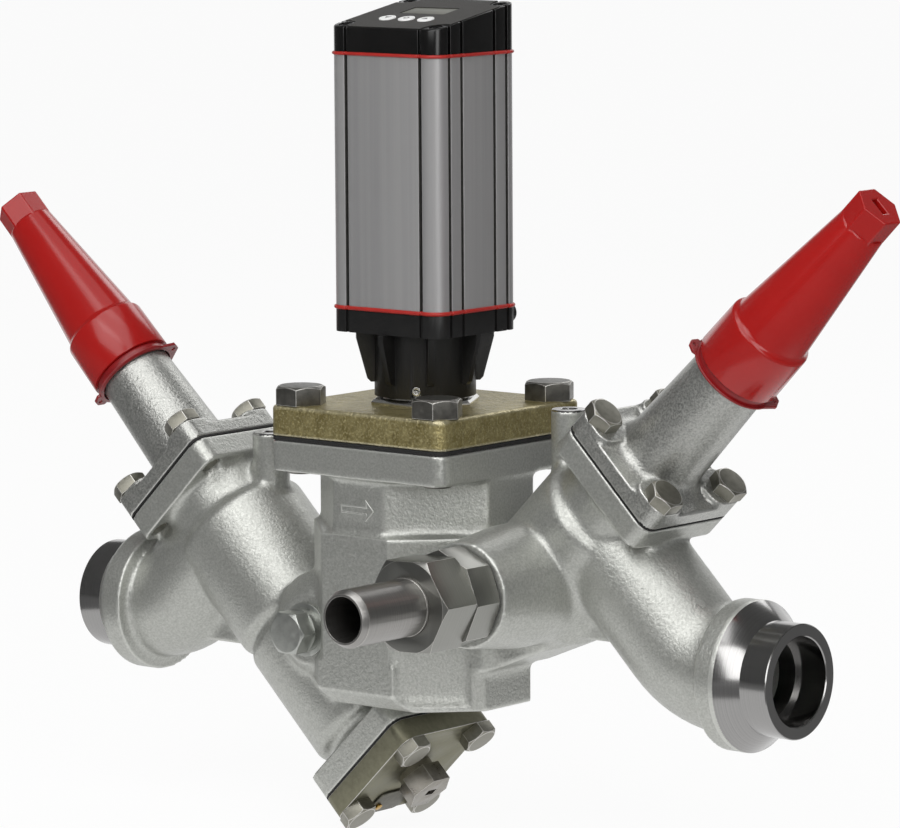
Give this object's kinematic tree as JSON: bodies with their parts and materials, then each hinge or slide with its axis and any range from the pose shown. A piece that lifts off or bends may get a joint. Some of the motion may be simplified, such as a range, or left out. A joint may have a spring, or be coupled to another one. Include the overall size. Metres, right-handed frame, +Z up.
{
  "type": "valve station",
  "caption": "Flanged valve station in one casting: inlet stop valve, strainer, motor valve with electric actuator and outlet stop valve, with weld-in pipe ends.",
  "frame": {"origin": "centre of the inlet socket's mouth", "axes": "+X along the flow, from the inlet mouth to the outlet mouth; +Z up along the motor valve axis; -Y towards the side port"},
  "size_m": [0.4495, 0.171, 0.3276],
  "materials": {
    "cast_zinc": "satin",
    "bonnet_zinc": "satin",
    "cover_yellow": "satin",
    "machined_steel": "satin",
    "bolt_steel": "satin",
    "cover_steel": "satin",
    "zinc_plug": "satin",
    "cap_red": "gloss",
    "gasket_red": "satin",
    "gasket_black": "satin",
    "black_plastic": "satin",
    "panel_grey": "satin",
    "button_white": "satin",
    "display_glass": "gloss",
    "anodised": "satin",
    "ptfe_white": "satin",
    "brass_pin": "satin",
    "board_green": "satin"
  },
  "bodies": {
    "station": {"actuator_base": "black_plastic", "actuator_lid": "black_plastic", "actuator_lower_gasket": "gasket_red", "actuator_set_screws": "bolt_steel", "actuator_shell": "anodised", "actuator_upper_gasket": "gasket_red", "actuator_window": "display_glass", "blind_plug": "zinc_plug", "blind_plug_washer": "zinc_plug", "cable_inlet_1": "black_plastic", "cable_inlet_2": "black_plastic", "circuit_board": "board_green", "housing": "cast_zinc", "inlet_bonnet": "bonnet_zinc", "inlet_bonnet_bolts": "bolt_steel", "inlet_bonnet_gasket": "gasket_black", "inlet_gland": "machined_steel", "inlet_seal_ring": "cap_red", "lid_screws": "bolt_steel", "motor_bolt_1": "bolt_steel", "motor_bolt_2": "bolt_steel", "motor_bolt_3": "bolt_steel", "motor_bolt_4": "bolt_steel", "motor_cover": "cover_yellow", "motor_gasket": "gasket_black", "motor_guide": "machined_steel", "motor_seat": "ptfe_white", "outlet_bonnet": "bonnet_zinc", "outlet_bonnet_bolts": "bolt_steel", "outlet_bonnet_gasket": "gasket_black", "outlet_gland": "machined_steel", "outlet_seal_ring": "cap_red", "port_adapter": "machined_steel", "port_washer": "gasket_black", "purge_plug": "bolt_steel", "stem_adapter": "machined_steel", "stepper_motor": "machined_steel", "strainer_basket": "machined_steel", "strainer_bolts": "bolt_steel", "strainer_cover": "cover_steel", "strainer_gasket": "gasket_black", "tag_pin": "brass_pin", "tag_plate": "bolt_steel", "union_nut": "machined_steel", "welding_nipple": "machined_steel"},
    "inlet_cap": {"inlet_cap": "cap_red"},
    "outlet_cap": {"outlet_cap": "cap_red"},
    "inlet_cone": {"inlet_cone": "machined_steel", "inlet_cone_seal": "ptfe_white"},
    "outlet_cone": {"outlet_cone": "machined_steel", "outlet_cone_seal": "ptfe_white"},
    "inlet_spindle": {"inlet_spindle": "machined_steel"},
    "outlet_spindle": {"outlet_spindle": "machined_steel"},
    "motor_cone": {"motor_cone": "machined_steel"},
    "motor_spindle": {"motor_spindle": "machined_steel"},
    "coupling_magnet": {"coupling_magnet": "machined_steel"},
    "button_1": {"button_1": "button_white"},
    "button_2": {"button_2": "button_white"},
    "button_3": {"button_3": "button_white"}
  },
  "joints": [
    {"name": "inlet_cap_off", "type": "slide", "parent": "station", "child": "inlet_cap", "axis": [-0.7071, 0, 0.7071], "range_m": [0, 0.1]},
    {"name": "inlet_cone_lift", "type": "slide", "parent": "station", "child": "inlet_cone", "axis": [-0.7071, 0, 0.7071], "range_m": [0, 0.01]},
    {"name": "inlet_spindle_turn", "type": "hinge", "parent": "inlet_cone", "child": "inlet_spindle", "pos_m": [0.05101, 0, 0.05459], "axis": [-0.7071, 0, 0.7071], "range_deg": [0, 1441]},
    {"name": "outlet_cap_off", "type": "slide", "parent": "station", "child": "outlet_cap", "axis": [0.7071, 0, 0.7071], "range_m": [0, 0.1]},
    {"name": "outlet_cone_lift", "type": "slide", "parent": "station", "child": "outlet_cone", "axis": [0.7071, 0, 0.7071], "range_m": [0, 0.01]},
    {"name": "outlet_spindle_turn", "type": "hinge", "parent": "outlet_cone", "child": "outlet_spindle", "pos_m": [0.27928, 0, 0.07418], "axis": [0.7071, 0, 0.7071], "range_deg": [0, 1441]},
    {"name": "coupling_turn", "type": "hinge", "parent": "station", "child": "coupling_magnet", "pos_m": [0.1685, 0, 0.126], "axis": [0, 0, 1], "range_deg": [0, 2160]},
    {"name": "motor_cone_lift", "type": "slide", "parent": "station", "child": "motor_cone", "axis": [0, 0, 1], "range_m": [0, 0.0121]},
    {"name": "motor_spindle_turn", "type": "hinge", "parent": "station", "child": "motor_spindle", "pos_m": [0.1685, 0, 0.1], "axis": [0, 0, 1], "range_deg": [0, 2161]},
    {"name": "button_1_press", "type": "slide", "parent": "station", "child": "button_1", "axis": [0, 0.1805, -0.9836], "range_m": [0, 0.0006], "stiffness_N_per_m": 900, "springref_m": -0.001},
    {"name": "button_2_press", "type": "slide", "parent": "station", "child": "button_2", "axis": [0, 0.1805, -0.9836], "range_m": [0, 0.0006], "stiffness_N_per_m": 900, "springref_m": -0.001},
    {"name": "button_3_press", "type": "slide", "parent": "station", "child": "button_3", "axis": [0, 0.1805, -0.9836], "range_m": [0, 0.0006], "stiffness_N_per_m": 900, "springref_m": -0.001}
  ],
  "couplings": [
    {"joint": "inlet_spindle_turn", "follows": "inlet_cone_lift", "rad_per_m": 2513.3},
    {"joint": "outlet_spindle_turn", "follows": "outlet_cone_lift", "rad_per_m": 2513.3},
    {"joint": "motor_cone_lift", "follows": "coupling_turn", "m_per_rad": 0.00031831},
    {"joint": "motor_spindle_turn", "follows": "coupling_turn", "ratio": 1}
  ]
}
